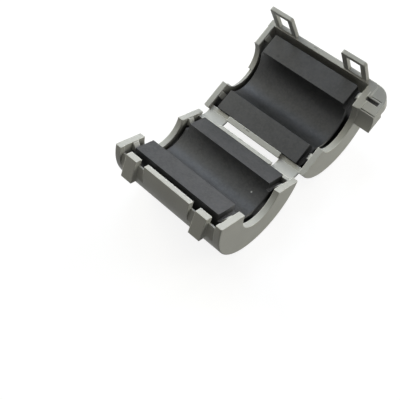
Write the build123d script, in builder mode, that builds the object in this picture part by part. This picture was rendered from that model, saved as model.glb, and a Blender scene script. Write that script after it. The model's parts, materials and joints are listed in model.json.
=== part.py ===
from build123d import *
from math import cos, radians, sin, sqrt
import os

# A clip-on ferrite core, open at its living hinge and lying on its two round backs.
# X runs along the cable, the catch half is at -Y, the loop half at +Y, and the floor is z = 0.
# In each half, u is along the cable, v is across with the hinge at +v, and w is up out of the parting face.

# Ferrite halves, whose ground flats are a little shorter than the rest
ferrite_radius = 13.05
ferrite_bore_radius = 6.95
ferrite_length = 30.0
ferrite_ledge_length = 1.0
ferrite_ledge_depth = 2.1
ferrite_edge_chamfer = 0.6
ferrite_bore_chamfer = 0.3

# Moulded case, with room for the ferrite, which rests against the hinge side
ferrite_room = 0.95
end_room = 1.15
exit_clearance = 0.1
rest_clearance = 0.1
seat_clearance = 0.05
case_wall = 1.5
end_wall = 1.7
parting_gap = 0.1
end_edge_radius = 0.3
open_angle = 135.0

# Living hinge: its pivot lies outside the rim, and two straps cross it
hinge_reach = 1.1
strap_width = 6.8
strap_inset = 1.75
strap_thickness = 0.55
strap_drop = 0.9
strap_root_depth = 0.3
strap_side_clearance = 0.1

# Latch: two catches on one half, two loops on the other
latch_inset = 6.05
latch_shift = 0.3
catch_width = 3.6
catch_thickness = 1.9
catch_recess = 0.05
catch_lean = 0.4
catch_top_drop = 0.6
catch_ledge_drop = 7.4
loop_thickness = 1.1
loop_root_depth = 0.7
loop_corner_radius = 0.7
loop_post = 1.6
loop_bar = 1.4
loop_side_clearance = 0.3
loop_end_clearance = 0.2
pocket_side_clearance = 0.5
pocket_back_clearance = 0.1
pocket_notch_depth = 2.2

# Hooks over the ledges of each ferrite end, above the windows left by their mould cores
hook_inset = 3.7
hook_width = 1.8
hook_top_drop = 0.3
hook_height = 2.6
hook_flat = 0.3
hook_lead_in = 1.3
hook_overlap = 0.15
window_inset = 2.1
window_width = 4.5
window_length = 3.1
window_recess = 0.45
window_rise = 0.375

# Pad on each round back, with two spring tongues that press on the ferrite
pad_half_width = 3.3
pad_inset = 4.45
pad_step = 0.15
slot_inset = 0.4
slot_length = 6.6
slot_width = 0.9
tongue_sink = 0.45
tongue_corner_radius = 1.1
tongue_nose_radius = 0.7

# Far end of the loop half: the exit is thinned to a skin from outside, and the rim's edge is chamfered
exit_skin = 0.3
exit_thin_width = 1.5
exit_thin_from = -60.0
exit_thin_to = 14.0
rim_chamfer = 0.35
rim_chamfer_from = 7.3
rim_chamfer_to = 13.2

# Cable-tie bracket on the near end of the loop half: a deep arm beside the exit and a round-cornered lobe
bracket_reach = 4.9
arm_height = 5.5
arm_relief = 0.2
lobe_inset = 0.1
lobe_height = 3.9
lobe_corner_radius = 4.0
bracket_plate = 0.9
bracket_wall = 0.7
bracket_rib_width = 0.8
bracket_rib_inset = 2.7
bracket_rib_pitch = 2.0
exit_wall = 0.85
plate_step = 0.1
plate_step_start = 0.65
tie_slot_width = 1.1
tie_slot_length = 3.8
tie_slot_margin = 0.05
groove_depth = 0.35
exit_groove_width = 0.35
exit_groove_inset = 0.55
slot_groove_width = 0.2
slot_groove_length = 3.1

# The case follows from the ferrite
bore_radius = ferrite_bore_radius + exit_clearance
cavity_radius = ferrite_radius + ferrite_room
case_radius = cavity_radius + case_wall
wall_radius = (cavity_radius + case_radius) / 2
cavity_half_length = ferrite_length / 2 + end_room
half_length = cavity_half_length + end_wall
case_length = 2 * half_length
ferrite_shift = ferrite_room - rest_clearance
rim_level = parting_gap / 2

# Places of the features along the case and across it
strap_centre = half_length - strap_inset - strap_width / 2
pocket_centre = half_length - latch_inset
hook_centre = cavity_radius - hook_inset
window_outer = cavity_radius - window_inset
window_centre = window_outer - window_width / 2
window_middle = cavity_half_length + window_recess - window_length / 2
window_floor = sqrt(cavity_radius**2 - window_outer**2) - window_rise
pad_half_length = half_length - pad_inset
pad_level = sqrt(case_radius**2 - pad_half_width**2) - pad_step
slot_end = pad_half_length - slot_inset
slot_start = slot_end - slot_length

# The loops fit round the catches, and the pockets round the loops, which stand a little towards the far end
latch_places = [end * pocket_centre - latch_shift for end in (-1, 1)]
catch_top_reach = case_radius - catch_recess
catch_ledge_reach = catch_top_reach + catch_lean
catch_inner = catch_top_reach - catch_thickness
loop_window_width = catch_width + 2 * loop_side_clearance
loop_window_start = catch_top_drop - loop_end_clearance
loop_window_end = catch_ledge_drop + loop_end_clearance
loop_width = loop_window_width + 2 * loop_post
loop_height = loop_window_end + loop_bar
pocket_width = loop_width + 2 * pocket_side_clearance
pocket_floor = case_radius - loop_thickness - pocket_back_clearance

# The bracket stands beside the cable exit
bracket_root = half_length - end_edge_radius
bracket_end = half_length + bracket_reach
bracket_ribs = [bore_radius + bracket_rib_inset + step * bracket_rib_pitch for step in (0, 1)]
arm_edge = bracket_ribs[0] + bracket_rib_width / 2
lobe_edge = case_radius - lobe_inset
plate_step_place = half_length + plate_step_start
tie_slot_centre = arm_edge + tie_slot_margin + tie_slot_width / 2

# The two halves tilt about the hinge, and the whole is centred on x = 0 and y = 0
tilt = (180 - open_angle) / 2
across_tilt, up_tilt = cos(radians(tilt)), sin(radians(tilt))
hinge_radius = case_radius + hinge_reach
latch_overhang = catch_ledge_reach * across_tilt + catch_ledge_drop * up_tilt - case_radius
hinge_y = latch_overhang / 2
hinge_z = case_radius - hinge_radius * up_tilt
case_x = -bracket_reach / 2

catch_frame = Plane(
    origin=(case_x, hinge_y - hinge_radius * across_tilt, case_radius),
    x_dir=(1, 0, 0),
    z_dir=(0, up_tilt, across_tilt),
)
loop_frame = Plane(
    origin=(case_x, hinge_y + hinge_radius * across_tilt, case_radius),
    x_dir=(1, 0, 0),
    z_dir=(0, -up_tilt, across_tilt),
)


def section(frame, u=0):
    """The cross-section at u: its x runs across the half and its y up out of the parting face."""
    return Plane(origin=frame.from_local_coords((u, 0, 0)), x_dir=frame.y_dir, z_dir=frame.x_dir)


def lengthwise(frame, across=0):
    """The plane along the cable: its x runs along the cable and its y up out of the parting face."""
    return Plane(origin=frame.from_local_coords((0, across, 0)), x_dir=frame.x_dir, z_dir=-frame.y_dir)


def half_case(frame, hinge):
    """What both moulded halves share. hinge is the sign of the hinge side across the frame."""
    with BuildPart() as shell:
        # Round back, closed by the parting face
        with BuildSketch(section(frame, -half_length)):
            Circle(case_radius)
            with Locations((0, case_radius - rim_level)):
                Rectangle(2 * case_radius, 2 * case_radius, mode=Mode.SUBTRACT)
        extrude(amount=case_length)
        fillet(shell.edges().filter_by(GeomType.CIRCLE), end_edge_radius)

        # Cavity between the end walls, and the half-round cable exits
        with BuildSketch(section(frame, -cavity_half_length)):
            Circle(cavity_radius)
        extrude(amount=2 * cavity_half_length, mode=Mode.SUBTRACT)
        with BuildSketch(section(frame, -half_length)):
            Circle(bore_radius)
        extrude(amount=case_length, mode=Mode.SUBTRACT)

        # Seats of the hinge straps: the rim is lowered, with a shallow step on its outside
        strap_places = [(end * strap_centre, hinge * case_radius) for end in (-1, 1)]
        seat_width = strap_width + 2 * strap_side_clearance
        with BuildSketch(frame):
            with Locations(strap_places):
                Rectangle(seat_width, 4 * case_wall)
        extrude(amount=-strap_drop, mode=Mode.SUBTRACT)
        with BuildSketch(frame):
            with Locations(strap_places):
                Rectangle(seat_width, 2 * strap_root_depth)
        extrude(amount=-strap_drop - strap_thickness, mode=Mode.SUBTRACT)

        # Hooks on the end walls, with a lead-in on top and a nose over the ledge of the ferrite
        hook_tip = ferrite_length / 2 - hook_overlap
        hook_heel = ferrite_length / 2 + seat_clearance
        hook_root = cavity_half_length + end_wall / 2
        hook_under = -rim_level - ferrite_ledge_depth + seat_clearance
        for side in (-1, 1):
            with BuildSketch(lengthwise(frame, side * hook_centre)):
                for end in (-1, 1):
                    with BuildLine():
                        Polyline(
                            (end * hook_root, -hook_top_drop),
                            (end * (cavity_half_length - hook_flat), -hook_top_drop),
                            (end * hook_tip, -hook_top_drop - hook_lead_in),
                            (end * hook_tip, hook_under),
                            (end * hook_heel, hook_under),
                            (end * hook_root, -hook_top_drop - hook_height),
                            close=True,
                        )
                    make_face()
            extrude(amount=hook_width / 2, both=True)

        # Windows that the hooks' mould cores leave in the back
        with BuildSketch(frame.offset(-case_radius)):
            for end in (-1, 1):
                for side in (-1, 1):
                    with Locations((end * window_middle, side * window_centre)):
                        Rectangle(window_length, window_width)
        extrude(amount=case_radius - window_floor, mode=Mode.SUBTRACT)

        # Flat pad on the back and the windows of its two tongues
        with BuildSketch(frame.offset(-case_radius)):
            Rectangle(2 * pad_half_length, 2 * pad_half_width)
        extrude(amount=case_radius - pad_level, mode=Mode.SUBTRACT)
        with BuildSketch(frame.offset(-case_radius)):
            for end in (-1, 1):
                with Locations((end * (slot_start + slot_end) / 2, 0)):
                    Rectangle(slot_end - slot_start, 2 * pad_half_width)
        extrude(amount=2 * case_wall, mode=Mode.SUBTRACT)
    return shell.part


def tongue(frame, end):
    """One spring tongue, rooted in the pad, with a round nose that meets the ferrite's back."""
    root = slot_start - case_wall / 2
    tip = slot_end - slot_width
    nose = tip - tongue_nose_radius - tongue_corner_radius / 2
    nose_level = ferrite_radius + seat_clearance + tongue_nose_radius
    with BuildPart() as blade:
        with BuildSketch(lengthwise(frame)):
            with BuildLine():
                Polyline(
                    (end * root, -pad_level),
                    (end * tip, tongue_sink - pad_level),
                    (end * tip, tongue_sink - cavity_radius),
                    (end * root, -cavity_radius),
                    close=True,
                )
            make_face()
            with Locations((end * nose, -nose_level)):
                Circle(tongue_nose_radius)
        extrude(amount=pad_half_width, both=True)
        with BuildSketch(frame.offset(-case_radius)) as outline:
            with Locations((end * (root + tip) / 2, 0)):
                Rectangle(tip - root, 2 * (pad_half_width - slot_width))
            fillet(outline.vertices().group_by(Axis.X)[-1 if end > 0 else 0], tongue_corner_radius)
        extrude(amount=case_radius, mode=Mode.INTERSECT)
    return blade.part


def outer_corner(sketch):
    """The corner of the bracket's outline that is farthest out along the case and across it."""
    return sketch.vertices().sort_by(Axis((0, 0, 0), (1, 1, 0)))[-1]


def bracket_cells(frame):
    """The three cells of the tie bracket, open at its back and closed by the plate in front."""
    with BuildPart() as cells:
        cell_reach, cell_edge = bracket_reach - bracket_wall, lobe_edge - bracket_wall
        with BuildSketch(frame.offset(-bracket_plate)) as inside:
            with Locations((half_length, 0)):
                Rectangle(cell_reach, cell_edge, align=(Align.MIN, Align.MIN))
            fillet(outer_corner(inside), lobe_corner_radius - bracket_wall)
            with Locations([(half_length, rib) for rib in bracket_ribs]):
                Rectangle(2 * bracket_reach, bracket_rib_width, mode=Mode.SUBTRACT)
        extrude(amount=-case_radius)
        with BuildSketch(section(frame)):
            Circle(bore_radius + exit_wall)
        extrude(amount=case_length, mode=Mode.SUBTRACT)
    return cells.part


# Catch half: the shared shell, two pockets in its latch rim and a catch standing in each
with BuildPart() as catch_shell:
    add(half_case(catch_frame, 1))
    for end in (-1, 1):
        add(tongue(catch_frame, end))

    pocket_places = [(end * pocket_centre, -case_radius) for end in (-1, 1)]
    with BuildSketch(catch_frame):
        with Locations(pocket_places):
            Rectangle(pocket_width, 2 * (case_radius - pocket_floor))
    extrude(amount=-catch_ledge_drop, mode=Mode.SUBTRACT)
    with BuildSketch(catch_frame):
        with Locations(pocket_places):
            Rectangle(pocket_width, 4 * case_wall)
    extrude(amount=-pocket_notch_depth, mode=Mode.SUBTRACT)

    for place in latch_places:
        with BuildSketch(section(catch_frame, place)):
            with BuildLine():
                Polyline(
                    (-catch_inner, -catch_top_drop),
                    (-catch_top_reach, -catch_top_drop),
                    (-catch_ledge_reach, -catch_ledge_drop),
                    (-sqrt(wall_radius**2 - catch_ledge_drop**2), -catch_ledge_drop),
                    (-catch_inner, -sqrt(wall_radius**2 - catch_inner**2)),
                    close=True,
                )
            make_face()
        extrude(amount=catch_width / 2, both=True)
catch_shell.part.label = "catch_shell"

# Loop half: the shared shell, two window loops standing from its latch rim, and the tie bracket
with BuildPart() as loop_shell:
    add(half_case(loop_frame, -1))
    for end in (-1, 1):
        add(tongue(loop_frame, end))

    with BuildSketch(lengthwise(loop_frame, case_radius)):
        for place in latch_places:
            with BuildSketch(mode=Mode.PRIVATE) as plate:
                with Locations((0, (loop_height - loop_root_depth) / 2)):
                    Rectangle(loop_width, loop_height + loop_root_depth)
                fillet(plate.vertices().group_by(Axis.Y)[-1], loop_corner_radius)
                with Locations((0, (loop_window_start + loop_window_end) / 2)):
                    Rectangle(loop_window_width, loop_window_end - loop_window_start, mode=Mode.SUBTRACT)
            with Locations((place, 0)):
                add(plate.sketch)
    extrude(amount=loop_thickness)

    # Far exit: thinned over a sector, whose two angles are measured from straight down towards the latch
    with BuildSketch(section(loop_frame, -half_length)):
        Circle(bore_radius + exit_thin_width)
        for side, turn in ((Align.MIN, exit_thin_to), (Align.MAX, exit_thin_from)):
            Rectangle(case_radius, case_length, rotation=turn, align=(side, Align.CENTER), mode=Mode.SUBTRACT)
    extrude(amount=end_wall - exit_skin, mode=Mode.SUBTRACT)
    # Chamfer along the outer edge of the far rim
    with BuildSketch(lengthwise(loop_frame, rim_chamfer_to)):
        with Locations((-half_length, 0)):
            Rectangle(sqrt(2) * rim_chamfer, sqrt(2) * rim_chamfer, rotation=45)
    extrude(amount=rim_chamfer_to - rim_chamfer_from, mode=Mode.SUBTRACT)

    # Bracket: the lobe, kept within the round of the case, and the deeper arm, both flush with the rim
    with BuildSketch(loop_frame.offset(-rim_level)) as lobe:
        with Locations((bracket_root, 0)):
            Rectangle(bracket_end - bracket_root, lobe_edge, align=(Align.MIN, Align.MIN))
        fillet(outer_corner(lobe), lobe_corner_radius)
    extrude(amount=-lobe_height)
    with BuildSketch(section(loop_frame, bracket_root)):
        Circle(2 * case_radius)
        Circle(case_radius, mode=Mode.SUBTRACT)
    extrude(amount=2 * bracket_reach, mode=Mode.SUBTRACT)
    with BuildSketch(loop_frame.offset(-rim_level)):
        with Locations((bracket_root, 0)):
            Rectangle(bracket_end - bracket_root, arm_edge, align=(Align.MIN, Align.MIN))
    extrude(amount=-arm_height)
    add(bracket_cells(loop_frame), mode=Mode.SUBTRACT)
    # The cable exit, which the arm runs along a little clear of the cable
    with BuildSketch(section(loop_frame)):
        Circle(bore_radius)
    extrude(amount=half_length, mode=Mode.SUBTRACT)
    with BuildSketch(section(loop_frame, half_length)):
        Circle(bore_radius + arm_relief)
    extrude(amount=2 * bracket_reach, mode=Mode.SUBTRACT)
    # Front of the bracket: a slight step down from the rim, the tie slot, and grooves beside it and the exit
    with BuildSketch(loop_frame):
        with Locations((plate_step_place, 0)):
            Rectangle(2 * bracket_reach, 2 * case_radius, align=(Align.MIN, Align.MIN))
    extrude(amount=-rim_level - plate_step, mode=Mode.SUBTRACT)
    with BuildSketch(loop_frame):
        with Locations((half_length + tie_slot_length / 2, tie_slot_centre)):
            Rectangle(tie_slot_length, tie_slot_width)
    extrude(amount=-2 * bracket_plate, mode=Mode.SUBTRACT)
    with BuildSketch(loop_frame):
        with Locations((plate_step_place, bore_radius + exit_groove_inset)):
            Rectangle(2 * bracket_reach, exit_groove_width, align=(Align.MIN, Align.CENTER))
        with Locations((bracket_end - bracket_wall, bracket_ribs[1])):
            Rectangle(slot_groove_length, slot_groove_width, align=(Align.MAX, Align.CENTER))
    extrude(amount=-rim_level - plate_step - groove_depth, mode=Mode.SUBTRACT)
loop_shell.part.label = "loop_shell"


def ferrite_half(frame, hinge):
    """A half ring of ferrite with a ledge at each end of its flats, lying against the hinge side."""
    centre = (hinge * ferrite_shift, 0)
    with BuildPart() as core:
        with BuildSketch(section(frame, -ferrite_length / 2)):
            with Locations(centre):
                Circle(ferrite_radius)
                Circle(ferrite_bore_radius, mode=Mode.SUBTRACT)
        extrude(amount=ferrite_length)
        rings = core.edges().filter_by(GeomType.CIRCLE).group_by(SortBy.RADIUS)
        chamfer(rings[-1], ferrite_edge_chamfer)
        chamfer(rings[0], ferrite_bore_chamfer)
        with BuildSketch(frame.offset(-rim_level)):
            Rectangle(2 * case_length, 4 * case_radius)
        extrude(amount=case_radius, mode=Mode.SUBTRACT)
        with BuildSketch(frame):
            with Locations([(end * ferrite_length / 2, 0) for end in (-1, 1)]):
                Rectangle(2 * ferrite_ledge_length, 4 * case_radius)
        extrude(amount=-rim_level - ferrite_ledge_depth, mode=Mode.SUBTRACT)
    return core.part


with BuildPart() as catch_ferrite:
    add(ferrite_half(catch_frame, 1))
catch_ferrite.part.label = "catch_ferrite"

with BuildPart() as loop_ferrite:
    add(ferrite_half(loop_frame, -1))
loop_ferrite.part.label = "loop_ferrite"


def hinge_strap(u):
    """One thin strap of the living hinge, bent in a shallow arc between its seats in the two rims."""
    root_level = strap_drop + strap_thickness / 2
    root_reach = hinge_reach + strap_root_depth
    half_span = root_reach * across_tilt + root_level * up_tilt
    root_z = hinge_z + root_reach * up_tilt - root_level * across_tilt
    bend_radius = half_span / up_tilt
    bend_z = root_z + bend_radius * across_tilt
    with BuildPart() as strap:
        with BuildSketch(Plane.YZ.offset(case_x + u)):
            with BuildLine():
                outer = CenterArc((hinge_y, bend_z), bend_radius + strap_thickness / 2, 270 - tilt, 2 * tilt)
                inner = CenterArc((hinge_y, bend_z), bend_radius - strap_thickness / 2, 270 - tilt, 2 * tilt)
                Line(outer @ 0, inner @ 0)
                Line(outer @ 1, inner @ 1)
            make_face()
        extrude(amount=strap_width / 2, both=True)
    return strap.part


with BuildPart() as far_hinge_strap:
    add(hinge_strap(-strap_centre))
far_hinge_strap.part.label = "far_hinge_strap"

with BuildPart() as near_hinge_strap:
    add(hinge_strap(strap_centre))
near_hinge_strap.part.label = "near_hinge_strap"

os.makedirs("parts", exist_ok=True)
pieces = [catch_shell, loop_shell, catch_ferrite, loop_ferrite, far_hinge_strap, near_hinge_strap]
for piece in pieces:
    export_step(piece.part, f"parts/{piece.part.label}.step")
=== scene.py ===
import json
from math import cos, radians, sin

import bmesh
import bpy
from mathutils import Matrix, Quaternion, Vector


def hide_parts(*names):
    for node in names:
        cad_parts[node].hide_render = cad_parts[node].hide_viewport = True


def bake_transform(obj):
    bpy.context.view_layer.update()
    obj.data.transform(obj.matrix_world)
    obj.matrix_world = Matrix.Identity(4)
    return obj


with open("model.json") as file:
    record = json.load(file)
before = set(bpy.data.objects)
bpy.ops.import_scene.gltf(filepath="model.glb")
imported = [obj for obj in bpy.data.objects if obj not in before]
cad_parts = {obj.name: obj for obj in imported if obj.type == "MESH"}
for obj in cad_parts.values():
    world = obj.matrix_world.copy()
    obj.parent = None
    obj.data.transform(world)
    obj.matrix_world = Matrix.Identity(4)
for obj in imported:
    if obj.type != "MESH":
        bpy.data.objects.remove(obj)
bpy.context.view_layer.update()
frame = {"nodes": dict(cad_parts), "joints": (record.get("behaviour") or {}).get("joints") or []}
nodes = frame["nodes"]
scene = bpy.context.scene
MM = 0.001

# Places of the CAD frame, in millimetres
CASE_X = -2.45
CASE_RADIUS = 15.5
TILT = radians(22.5)
HINGE = next(joint for joint in frame["joints"] if joint["name"] == "case_hinge")
HINGE_Y, HINGE_Z = HINGE["pos_m"][1] / MM, HINGE["pos_m"][2] / MM
HINGE_RADIUS = 16.6
CATCH_Y = HINGE_Y - HINGE_RADIUS * cos(TILT)
LOOP_Y = HINGE_Y + HINGE_RADIUS * cos(TILT)

# Hinge straps, in millimetres
STRAP_CENTRES = {"far_hinge_strap": -12.7, "near_hinge_strap": 12.7}
STRAP_WIDTH = 6.8
STRAP_THICKNESS = 0.55
STRAP_ROUNDING = 0.12
STRAP_ROOT_REACH = 1.4
STRAP_ROOT_DROP = 1.175
STRAP_STEPS = 24
SHARP_ANGLE = radians(30)

# Camera, from a fit to the photograph: places, lens and sensor in millimetres, clipping in metres
CAMERA_PLACE = (61.075, -76.24, 142.87)
CAMERA_AIM = (0.665, -16.15, 10.0)
CAMERA_ROLL = radians(-1.97)
CAMERA_LENS = 55.5
CAMERA_SENSOR = 36.0
CAMERA_SHIFT = (-0.0339, -0.0353)
CAMERA_CLIP = (0.005, 5.0)

# Soft boxes round the object: bearing and height in degrees, power in watts, colour
SOFT_BOXES = {
    "back_right": (45, 20, 1.0, (1.0, 1.0, 0.88)),
    "back": (90, 20, 1.25, (0.95, 0.95, 1.0)),
    "high_left": (135, 50, 0.76, (0.72, 0.83, 1.0)),
    "left": (180, 35, 1.25, (1.0, 1.0, 0.88)),
}

# Size of a soft box and its distance from the object, in metres
SOFT_BOX_SIZE = 0.22
SOFT_BOX_DISTANCE = 0.5

# Light tent: its strength rises between these heights on a sphere of radius 1
TENT_HEIGHTS = (-0.1, 1.0)
TENT_STRENGTHS = (0.0, 0.22)
TENT_COLOUR = (1.0, 0.96, 0.84, 1.0)
WHITE = (1.0, 1.0, 1.0, 1.0)

# Floor: its reach in metres, its colour to the light on the object, its colour and glow to the camera
FLOOR_REACH = 1.5
FLOOR_DULL = (0.12, 0.12, 0.12, 1.0)
FLOOR_PAPER = (0.22, 0.22, 0.22, 1.0)
FLOOR_GLOW = 0.87

# Sockets of a Mix node that mixes colours
MIX_FACTOR, MIX_FIRST, MIX_SECOND = 0, 6, 7
MIX_RESULT = 2


def in_half(half, u, v, w):
    """A point of a half's own u along the cable, v towards the hinge and w up from its parting plane,
    in millimetres, as a place in the frame in metres."""
    side, y = (1, CATCH_Y) if half == "catch" else (-1, LOOP_Y)
    across = v * cos(TILT) + w * sin(TILT)
    up = w * cos(TILT) - v * sin(TILT)
    return Vector((CASE_X + u, y + side * across, CASE_RADIUS + up)) * MM


def srgb(red, green, blue):
    """A colour read off as 0 to 255 sRGB, as linear RGBA."""
    def linear(value):
        value /= 255
        return value / 12.92 if value <= 0.04045 else ((value + 0.055) / 1.055) ** 2.4
    return (linear(red), linear(green), linear(blue), 1.0)


# Colours and roughness of the case and the straps
CASE_GREY, CASE_ROUGHNESS = srgb(194, 194, 189), 0.55
STRAP_GREY, STRAP_ROUGHNESS = srgb(204, 204, 200), 0.45

# Colours that the clouds run between. The plastic's darker one is a share of its own colour
PLASTIC_CLOUD_SHADE = 0.94
FERRITE_DARK, FERRITE_LIGHT = srgb(31, 32, 33), srgb(48, 49, 51)

# Noises: scale to the metre, detail and roughness
PLASTIC_CLOUDS = (160.0, 2.0, 0.5)
PLASTIC_GRAIN = (5200.0, 2.0, 0.6)
PLASTIC_WAVES = (900.0, 2.0, 0.5)
FERRITE_CLOUDS = (320.0, 4.0, 0.65)
FERRITE_MOTTLE = (1500.0, 3.0, 0.6)
FERRITE_GRAIN = (4200.0, 3.0, 0.7)
FERRITE_SHEEN = (700.0, 3.0, 0.5)
PLASTIC_FLECK_SCALE = 260.0

# Bands: the values between which a ramp changes
PLASTIC_CLOUD_BAND = (0.3, 0.7)
FERRITE_CLOUD_BAND = (0.35, 0.65)
FERRITE_SHEEN_BAND = (0.3, 0.7)
OPEN_BAND = (0.45, 0.7)

# Tints: the band in which a tint changes, its share at the two ends and its colour
PLASTIC_GRAIN_TINT = ((0.3, 0.7), (0.0, 0.10), srgb(120, 121, 113))
PLASTIC_FLECK_TINT = ((0.03, 0.07), (0.22, 0.0), srgb(90, 90, 84))
FERRITE_MOTTLE_TINT = ((0.4, 0.65), (0.0, 0.6), srgb(62, 62, 60))
FERRITE_GRAIN_TINT = ((0.35, 0.7), (0.0, 0.35), srgb(34, 35, 36))
# Painted shade: near black towards the bottom of narrow gaps, where shade falls
PAINTED_GAP_SHADE = ((0.1, 0.5), (0.97, 0.0), srgb(8, 8, 7))
# Painted highlight: a pale colour along edges that stand free, where rounded edges catch the light
EDGE_HIGHLIGHT_BAND, EDGE_HIGHLIGHT_SHARES, EDGE_HIGHLIGHT_COLOUR = (0.86, 0.99), (0.9, 0.0), srgb(252, 252, 246)

# Roughness of the ferrite at the two ends of its sheen, and the specular level of both materials
FERRITE_ROUGHNESS = (0.44, 0.5)
PLASTIC_SPECULAR, FERRITE_SPECULAR = 0.4, 0.5

# Reach of the shading in gaps and radius of the rounded edges, in millimetres, and their samples
PLASTIC_GAP_REACH, FERRITE_GAP_REACH = 3.2, 3.0
PLASTIC_EDGE_RADIUS, FERRITE_EDGE_RADIUS = 0.28, 0.12
GAP_SAMPLES, EDGE_SAMPLES = 8, 6

# Bumps: strength, and depth in millimetres
PLASTIC_GRAIN_BUMP = (0.16, 0.06)
PLASTIC_WAVE_BUMP = (0.10, 0.10)
FERRITE_GRAIN_BUMP = (0.1, 0.05)

# Colours of the marks, and the share of their radius over which they fade
DARK_PIT = srgb(10, 10, 10)
PALE_SPECK = srgb(190, 192, 190)
# A painted highlight: the pale line where a small step's edge catches the light
PAINTED_STEP_HIGHLIGHT = srgb(246, 246, 242)
SCUFF = srgb(96, 97, 90)
MARK_FADE = 0.4


class Tree:
    """A short way to write the nodes of a material or a world."""

    def __init__(self, owner, output):
        owner.use_nodes = True
        self.tree = owner.node_tree
        self.tree.nodes.clear()
        self.out = self.add(output)

    def add(self, kind, inputs=None, **settings):
        """A node with its settings, and its inputs set to values or joined to sockets."""
        node = self.tree.nodes.new(kind)
        for name, value in settings.items():
            setattr(node, name, value)
        for name, value in (inputs or {}).items():
            socket = node.inputs[name]
            if isinstance(value, bpy.types.NodeSocket):
                self.tree.links.new(value, socket)
            else:
                socket.default_value = value
        return node

    def math(self, operation, a, b):
        return self.add("ShaderNodeMath", {0: a, 1: b}, operation=operation).outputs[0]

    def ramp(self, value, band, ends=(0.0, 1.0), kind="SMOOTHSTEP"):
        """The first of ends below the band, the second above it, and a change between them inside."""
        inputs = {"Value": value, "From Min": band[0], "From Max": band[1],
                  "To Min": ends[0], "To Max": ends[1]}
        return self.add("ShaderNodeMapRange", inputs, interpolation_type=kind).outputs["Result"]

    def seen_ray(self):
        """1 for what the camera sees itself, in a reflection or through a clear piece, and 0 for light
        on the object."""
        path = self.add("ShaderNodeLightPath").outputs
        mirrored = self.math("MAXIMUM", path["Is Camera Ray"], path["Is Glossy Ray"])
        return self.math("MAXIMUM", mirrored, path["Is Transmission Ray"])

    def seen_as(self, lit, seen):
        """The shader lit for light on the object, and the shader seen for what the camera sees."""
        inputs = {0: self.seen_ray(), 1: lit.outputs[0], 2: seen.outputs[0]}
        return self.add("ShaderNodeMixShader", inputs)

    def surface(self, shader):
        self.tree.links.new(shader.outputs[0], self.out.inputs["Surface"])


class Paint(Tree):
    """The nodes of a new material."""

    def __init__(self, name):
        self.material = bpy.data.materials.new(name)
        super().__init__(self.material, "ShaderNodeOutputMaterial")
        self.coords = self.add("ShaderNodeTexCoord").outputs["Object"]

    def noise(self, scale, detail, rough):
        inputs = {"Vector": self.coords, "Scale": scale, "Detail": detail, "Roughness": rough}
        return self.add("ShaderNodeTexNoise", inputs).outputs["Fac"]

    def mix(self, factor, a, b):
        inputs = {MIX_FACTOR: factor, MIX_FIRST: a, MIX_SECOND: b}
        return self.add("ShaderNodeMix", inputs, data_type="RGBA").outputs[MIX_RESULT]

    def tinted(self, base, value, band, shares, colour):
        """The colour base with a share of another colour, which follows the value."""
        return self.mix(self.ramp(value, band, shares), base, colour)

    def vector(self, operation, inputs):
        return self.add("ShaderNodeVectorMath", inputs, operation=operation)

    def bump(self, height, strength, depth, normal):
        inputs = {"Height": height, "Strength": strength, "Distance": depth * MM, "Normal": normal}
        return self.add("ShaderNodeBump", inputs).outputs["Normal"]

    def streak(self, start, end, radius):
        """1 near the line from start to end, fading to 0 round its radius in millimetres."""
        offset = self.vector("SUBTRACT", {0: self.coords, 1: tuple(start)}).outputs["Vector"]
        length = (end - start).length
        if length > 0:
            direction = tuple((end - start) / length)
            along = self.vector("DOT_PRODUCT", {0: offset, 1: direction}).outputs["Value"]
            along = self.math("MAXIMUM", self.math("MINIMUM", along, length), 0.0)
            foot = self.vector("SCALE", {0: direction, "Scale": along}).outputs["Vector"]
            offset = self.vector("SUBTRACT", {0: offset, 1: foot}).outputs["Vector"]
        gap = self.vector("LENGTH", {0: offset}).outputs["Value"]
        band = (radius * MM * (1 - MARK_FADE), radius * MM * (1 + MARK_FADE))
        return self.ramp(gap, band, (1.0, 0.0))

    def marked(self, base, marks):
        """The colour base with its marks, each a start, an end, a radius, a share and a colour."""
        for start, end, radius, share, colour in marks:
            base = self.mix(self.math("MULTIPLY", self.streak(start, end, radius), share), base, colour)
        return base

    def openness(self, reach):
        """1 in the open, down to 0 in gaps that are narrow beside reach, in millimetres."""
        inputs = {"Distance": reach * MM}
        return self.add("ShaderNodeAmbientOcclusion", inputs, samples=GAP_SAMPLES).outputs["AO"]

    def rounded(self, radius):
        """The surface's direction, with its edges rounded to the radius in millimetres."""
        return self.add("ShaderNodeBevel", {"Radius": radius * MM}, samples=EDGE_SAMPLES).outputs["Normal"]

    def painted_edge_highlight(self, base, openness, rounded):
        """The colour base with a painted highlight: paler along the edges that stand free, where rounded
        edges catch the light.
        """
        flat = self.add("ShaderNodeNewGeometry").outputs["True Normal"]
        turn = self.vector("DOT_PRODUCT", {0: flat, 1: rounded}).outputs["Value"]
        free = self.ramp(openness, OPEN_BAND)
        share = self.math("MULTIPLY", self.ramp(turn, EDGE_HIGHLIGHT_BAND, EDGE_HIGHLIGHT_SHARES), free)
        return self.mix(share, base, EDGE_HIGHLIGHT_COLOUR)

    def finished(self, base, roughness, normal, specular):
        """The material, from its colour, roughness, surface direction and specular level."""
        inputs = {"Base Color": base, "Roughness": roughness, "Normal": normal,
                  "Specular IOR Level": specular}
        self.surface(self.add("ShaderNodeBsdfPrincipled", inputs))
        return self.material


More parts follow.
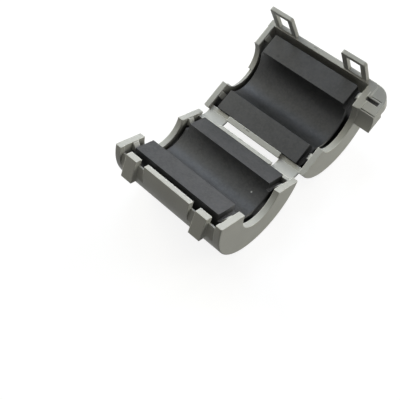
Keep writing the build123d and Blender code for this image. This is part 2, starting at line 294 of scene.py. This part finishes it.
def moulded_plastic(name, colour, roughness, marks=()):
    """Warm grey nylon: fine eroded mould texture, faint flow clouds and small dark flecks, with painted
    shade in narrow gaps and painted highlights along free edges.
    """
    paint = Paint(name)
    clouds = paint.ramp(paint.noise(*PLASTIC_CLOUDS), PLASTIC_CLOUD_BAND)
    shade = tuple(value * PLASTIC_CLOUD_SHADE for value in colour[:3]) + (1.0,)
    base = paint.mix(clouds, shade, colour)
    grain = paint.noise(*PLASTIC_GRAIN)
    base = paint.tinted(base, grain, *PLASTIC_GRAIN_TINT)
    cells = paint.add("ShaderNodeTexVoronoi", {"Vector": paint.coords, "Scale": PLASTIC_FLECK_SCALE})
    base = paint.tinted(base, cells.outputs["Distance"], *PLASTIC_FLECK_TINT)
    openness = paint.openness(PLASTIC_GAP_REACH)
    rounded = paint.rounded(PLASTIC_EDGE_RADIUS)
    # Painted highlight along the free edges
    base = paint.painted_edge_highlight(base, openness, rounded)
    # Painted shade darkens the colour in narrow gaps
    base = paint.marked(paint.tinted(base, openness, *PAINTED_GAP_SHADE), marks)
    normal = paint.bump(grain, *PLASTIC_GRAIN_BUMP, rounded)
    normal = paint.bump(paint.noise(*PLASTIC_WAVES), *PLASTIC_WAVE_BUMP, normal)
    return paint.finished(base, roughness, normal, PLASTIC_SPECULAR)


def sintered_ferrite(name, marks):
    """Dark grey sintered ferrite with a dull bluish sheen, fine grain and a few pits and specks, with
    painted shade in narrow gaps.
    """
    paint = Paint(name)
    clouds = paint.ramp(paint.noise(*FERRITE_CLOUDS), FERRITE_CLOUD_BAND)
    base = paint.mix(clouds, FERRITE_DARK, FERRITE_LIGHT)
    base = paint.tinted(base, paint.noise(*FERRITE_MOTTLE), *FERRITE_MOTTLE_TINT)
    grain = paint.noise(*FERRITE_GRAIN)
    base = paint.tinted(base, grain, *FERRITE_GRAIN_TINT)
    openness = paint.openness(FERRITE_GAP_REACH)
    # Painted shade darkens the colour in narrow gaps
    base = paint.marked(paint.tinted(base, openness, *PAINTED_GAP_SHADE), marks)
    normal = paint.bump(grain, *FERRITE_GRAIN_BUMP, paint.rounded(FERRITE_EDGE_RADIUS))
    roughness = paint.ramp(paint.noise(*FERRITE_SHEEN), FERRITE_SHEEN_BAND, FERRITE_ROUGHNESS)
    return paint.finished(base, roughness, normal, FERRITE_SPECULAR)


def dress(node, material):
    """Gives a CAD node its material."""
    slots = nodes[node].data.materials
    slots.clear()
    slots.append(material)


def mark(half, places, radius, share, colour):
    """A mark of the photographed part, from its first place to its last, in the half's own u, v, w."""
    return in_half(half, *places[0]), in_half(half, *places[-1]), radius, share, colour


# Each mark: its half, its places, its radius in millimetres, the share of its colour and the colour
catch_marks = [mark("catch", [(11.0, 6.1, -4.5)], 0.22, 1.0, PALE_SPECK)]
loop_marks = [
    mark("loop", [(-9.4, -7.4, 0.0)], 0.5, 1.0, DARK_PIT),
    mark("loop", [(8.0, 9.4, 0.0)], 0.3, 0.8, DARK_PIT),
    mark("loop", [(-9.0, -0.9, -6.7)], 0.8, 0.5, DARK_PIT),
    mark("loop", [(-13.5, -5.3, -0.3)], 0.3, 0.8, PALE_SPECK),
]
case_marks = [
    # The first three marks are painted highlights: pale lines along the small steps of the bracket's
    # plate, where their edges catch the light
    mark("loop", [(18.5, -14.8, -0.1), (18.5, -12.0, -0.1)], 0.18, 0.9, PAINTED_STEP_HIGHLIGHT),
    mark("loop", [(18.5, -10.0, -0.1), (18.5, -8.0, -0.1)], 0.18, 0.9, PAINTED_STEP_HIGHLIGHT),
    mark("loop", [(17.8, -12.6, -0.1), (17.8, -11.0, -0.1)], 0.16, 0.6, PAINTED_STEP_HIGHLIGHT),
    mark("loop", [(-2.9, 14.4, 0.0), (-1.8, 14.4, 0.0)], 0.16, 0.8, SCUFF),
    mark("loop", [(-3.6, 14.4, 0.0)], 0.2, 0.7, SCUFF),
    mark("loop", [(-2.6, -14.9, 0.0), (-1.6, -14.9, 0.0)], 0.16, 0.5, SCUFF),
    mark("catch", [(-2.5, 15.3, 0.0), (-1.4, 15.3, 0.0)], 0.16, 0.7, SCUFF),
]
case_plastic = moulded_plastic("case_plastic", CASE_GREY, CASE_ROUGHNESS, case_marks)
strap_plastic = moulded_plastic("strap_plastic", STRAP_GREY, STRAP_ROUGHNESS)
dress("catch_shell", case_plastic)
dress("loop_shell", case_plastic)
dress("catch_ferrite", sintered_ferrite("catch_ferrite_ceramic", catch_marks))
dress("loop_ferrite", sintered_ferrite("loop_ferrite_ceramic", loop_marks))


def hinge_strap(node, u):
    """One strap of the living hinge, as a smooth bent strip with rounded long edges."""
    half_span = STRAP_ROOT_REACH * cos(TILT) + STRAP_ROOT_DROP * sin(TILT)
    root_z = HINGE_Z + STRAP_ROOT_REACH * sin(TILT) - STRAP_ROOT_DROP * cos(TILT)
    bend_radius = half_span / sin(TILT)
    bend_z = root_z + bend_radius * cos(TILT)
    half_width, half_thick = STRAP_WIDTH / 2, STRAP_THICKNESS / 2
    flat_width, flat_thick = half_width - STRAP_ROUNDING, half_thick - STRAP_ROUNDING
    section = [
        (-flat_width, -half_thick), (flat_width, -half_thick),
        (half_width, -flat_thick), (half_width, flat_thick),
        (flat_width, half_thick), (-flat_width, half_thick),
        (-half_width, flat_thick), (-half_width, -flat_thick),
    ]
    bm = bmesh.new()
    rings = []
    for step in range(STRAP_STEPS + 1):
        turn = TILT * (2 * step / STRAP_STEPS - 1)
        ring = []
        for along, out in section:
            reach = bend_radius + out
            x, y, z = CASE_X + u + along, HINGE_Y + reach * sin(turn), bend_z - reach * cos(turn)
            ring.append(bm.verts.new(Vector((x, y, z)) * MM))
        rings.append(ring)
    for first, second in zip(rings, rings[1:]):
        for index in range(len(section)):
            following = (index + 1) % len(section)
            bm.faces.new((first[index], first[following], second[following], second[index]))
    bm.faces.new(rings[0])
    bm.faces.new(list(reversed(rings[-1])))
    bmesh.ops.recalc_face_normals(bm, faces=bm.faces)
    mesh = bpy.data.meshes.new(node + "_bend")
    bm.to_mesh(mesh)
    bm.free()
    mesh.shade_smooth()
    mesh.set_sharp_from_angle(angle=SHARP_ANGLE)
    strap = bpy.data.objects.new(node + "_bend", mesh)
    scene.collection.objects.link(strap)
    mesh.materials.append(strap_plastic)
    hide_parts(node)
    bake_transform(strap)


for strap_node, strap_u in STRAP_CENTRES.items():
    hinge_strap(strap_node, strap_u)


def camera():
    """The camera at the photograph's place."""
    data = bpy.data.cameras.new("camera")
    data.lens = CAMERA_LENS
    data.sensor_width = CAMERA_SENSOR
    data.shift_x, data.shift_y = CAMERA_SHIFT
    data.clip_start, data.clip_end = CAMERA_CLIP
    cam = bpy.data.objects.new("camera", data)
    scene.collection.objects.link(cam)
    place, aim = Vector(CAMERA_PLACE) * MM, Vector(CAMERA_AIM) * MM
    upright = (aim - place).to_track_quat("-Z", "Y")
    cam.location = place
    cam.rotation_mode = "QUATERNION"
    cam.rotation_quaternion = upright @ Quaternion((0, 0, 1), CAMERA_ROLL)
    scene.camera = cam


def soft_box(name, bearing, height, power, colour):
    """A square soft light, turned to the object. Its bearing runs from +X to +Y, and its height up from
    the floor."""
    data = bpy.data.lights.new(name, "AREA")
    data.shape = "SQUARE"
    data.size = SOFT_BOX_SIZE
    data.energy = power
    data.color = colour
    lamp = bpy.data.objects.new(name, data)
    turn, rise = radians(bearing), radians(height)
    towards = Vector((cos(rise) * cos(turn), cos(rise) * sin(turn), sin(rise)))
    lamp.location = towards * SOFT_BOX_DISTANCE
    lamp.rotation_mode = "QUATERNION"
    lamp.rotation_quaternion = (-towards).to_track_quat("-Z", "Y")
    scene.collection.objects.link(lamp)


def world_light():
    """A light tent: brightest overhead and dark towards the floor, and plain white to the camera."""
    world = bpy.data.worlds.new("tent")
    scene.world = world
    tree = Tree(world, "ShaderNodeOutputWorld")
    direction = tree.add("ShaderNodeTexCoord").outputs["Generated"]
    height = tree.add("ShaderNodeSeparateXYZ", {0: direction}).outputs["Z"]
    strength = tree.ramp(height, TENT_HEIGHTS, TENT_STRENGTHS, kind="LINEAR")
    tent = tree.add("ShaderNodeBackground", {"Color": TENT_COLOUR, "Strength": strength})
    white = tree.add("ShaderNodeBackground", {"Color": WHITE})
    tree.surface(tree.seen_as(tent, white))


def floor():
    """A plain pale floor. To the camera it is white with the object's soft shadow."""
    bm = bmesh.new()
    bmesh.ops.create_grid(bm, x_segments=1, y_segments=1, size=FLOOR_REACH)
    mesh = bpy.data.meshes.new("floor")
    bm.to_mesh(mesh)
    bm.free()
    plane = bpy.data.objects.new("floor", mesh)
    scene.collection.objects.link(plane)
    paint = Paint("floor_paper")
    dull = paint.add("ShaderNodeBsdfDiffuse", {"Color": FLOOR_DULL})
    paper = paint.add("ShaderNodeBsdfDiffuse", {"Color": FLOOR_PAPER})
    glow = paint.add("ShaderNodeEmission", {"Color": WHITE, "Strength": FLOOR_GLOW})
    bright = paint.add("ShaderNodeAddShader", {0: paper.outputs[0], 1: glow.outputs[0]})
    paint.surface(paint.seen_as(dull, bright))
    mesh.materials.append(paint.material)


camera()
world_light()
floor()
for box_name, box_setting in SOFT_BOXES.items():
    soft_box(box_name, *box_setting)
scene.view_settings.view_transform = "Standard"
